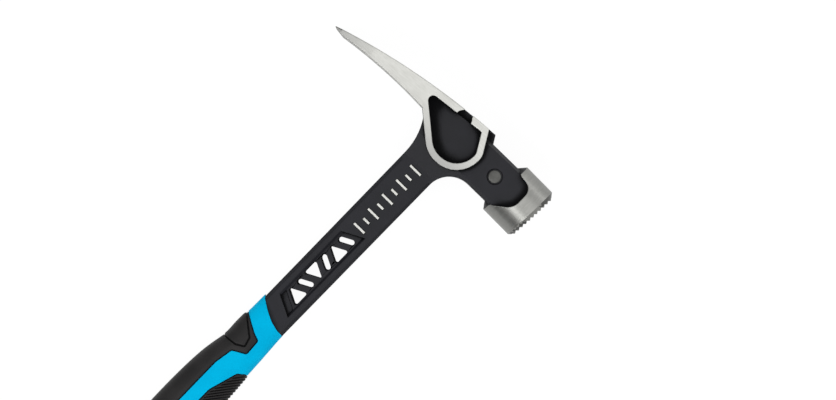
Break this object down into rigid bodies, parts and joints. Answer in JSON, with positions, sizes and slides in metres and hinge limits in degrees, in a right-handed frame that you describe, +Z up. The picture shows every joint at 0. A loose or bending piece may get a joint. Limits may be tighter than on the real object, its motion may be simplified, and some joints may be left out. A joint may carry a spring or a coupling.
{
  "type": "framing hammer",
  "caption": "One-piece steel framing hammer with a straight claw, milled face, side nail pocket, windowed shank and a two-colour moulded grip.",
  "frame": {"origin": "on the surface it lies on, under the middle of the whole hammer", "axes": "+X towards the striking face, +Y along the handle towards the head, +Z up, away from the surface the hammer lies on"},
  "size_m": [0.1648, 0.406, 0.0366],
  "materials": {
    "forged_steel": "ground bare on claw, rim, raised marks and poll, satin black paint elsewhere",
    "pin_steel": "dull grey",
    "magnet": "nickel plated",
    "grip_core": "matt dark grey, hidden but for its top edge",
    "sleeve": "satin cyan blue",
    "pad": "matt black",
    "butt": "matt black"
  },
  "bodies": {
    "root": {"forging": "forged_steel", "starter_magnet": "magnet", "cheek_pin": "pin_steel", "grip_core": "grip_core", "grip_sleeve": "sleeve", "back_pad": "pad", "finger_pad": "pad", "butt_cap": "butt"}
  },
  "joints": []
}
